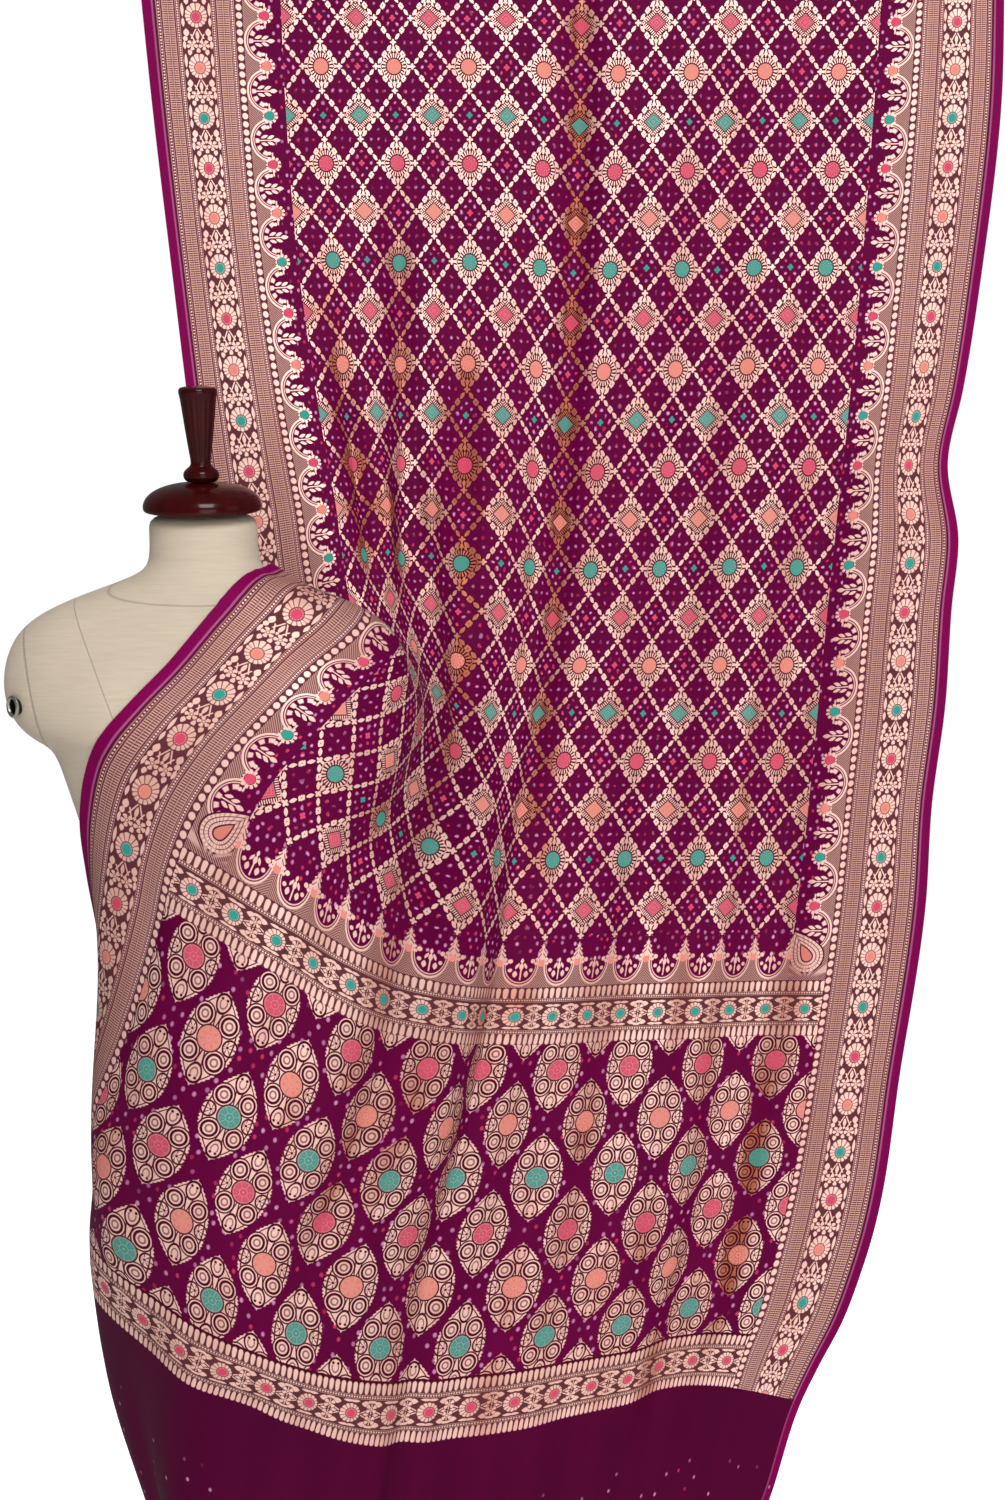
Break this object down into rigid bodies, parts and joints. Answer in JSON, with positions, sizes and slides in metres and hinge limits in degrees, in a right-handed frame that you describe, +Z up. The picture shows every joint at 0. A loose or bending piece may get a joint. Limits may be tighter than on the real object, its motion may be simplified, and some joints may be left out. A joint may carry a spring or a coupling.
{
  "type": "draped bandhani cloth on a dress form",
  "caption": "Saree length hung from its top edge and drawn forward over the shoulder of a plain dress form, falling across the chest and round the side.",
  "frame": {"origin": "middle of the cloth's top edge, between its two top corners, where the cloth is held up", "axes": "+Z up; +X to the right as the cloth is looked at; +Y away from the looker, so the face of the cloth and the chest of the form look along -Y"},
  "size_m": [1.223, 0.464, 2.1215],
  "materials": {
    "silk": "wine georgette with woven metal-thread pattern",
    "linen": "plain unbleached linen",
    "polished_wood": "dark red gloss lacquer",
    "nickel": "worn nickel"
  },
  "bodies": {
    "root": {"saree_cloth": "silk", "form_torso": "linen", "arm_bare": "linen", "arm_covered": "linen", "arm_eyelet": "nickel", "neck_cap": "polished_wood", "finial": "polished_wood"}
  },
  "joints": []
}
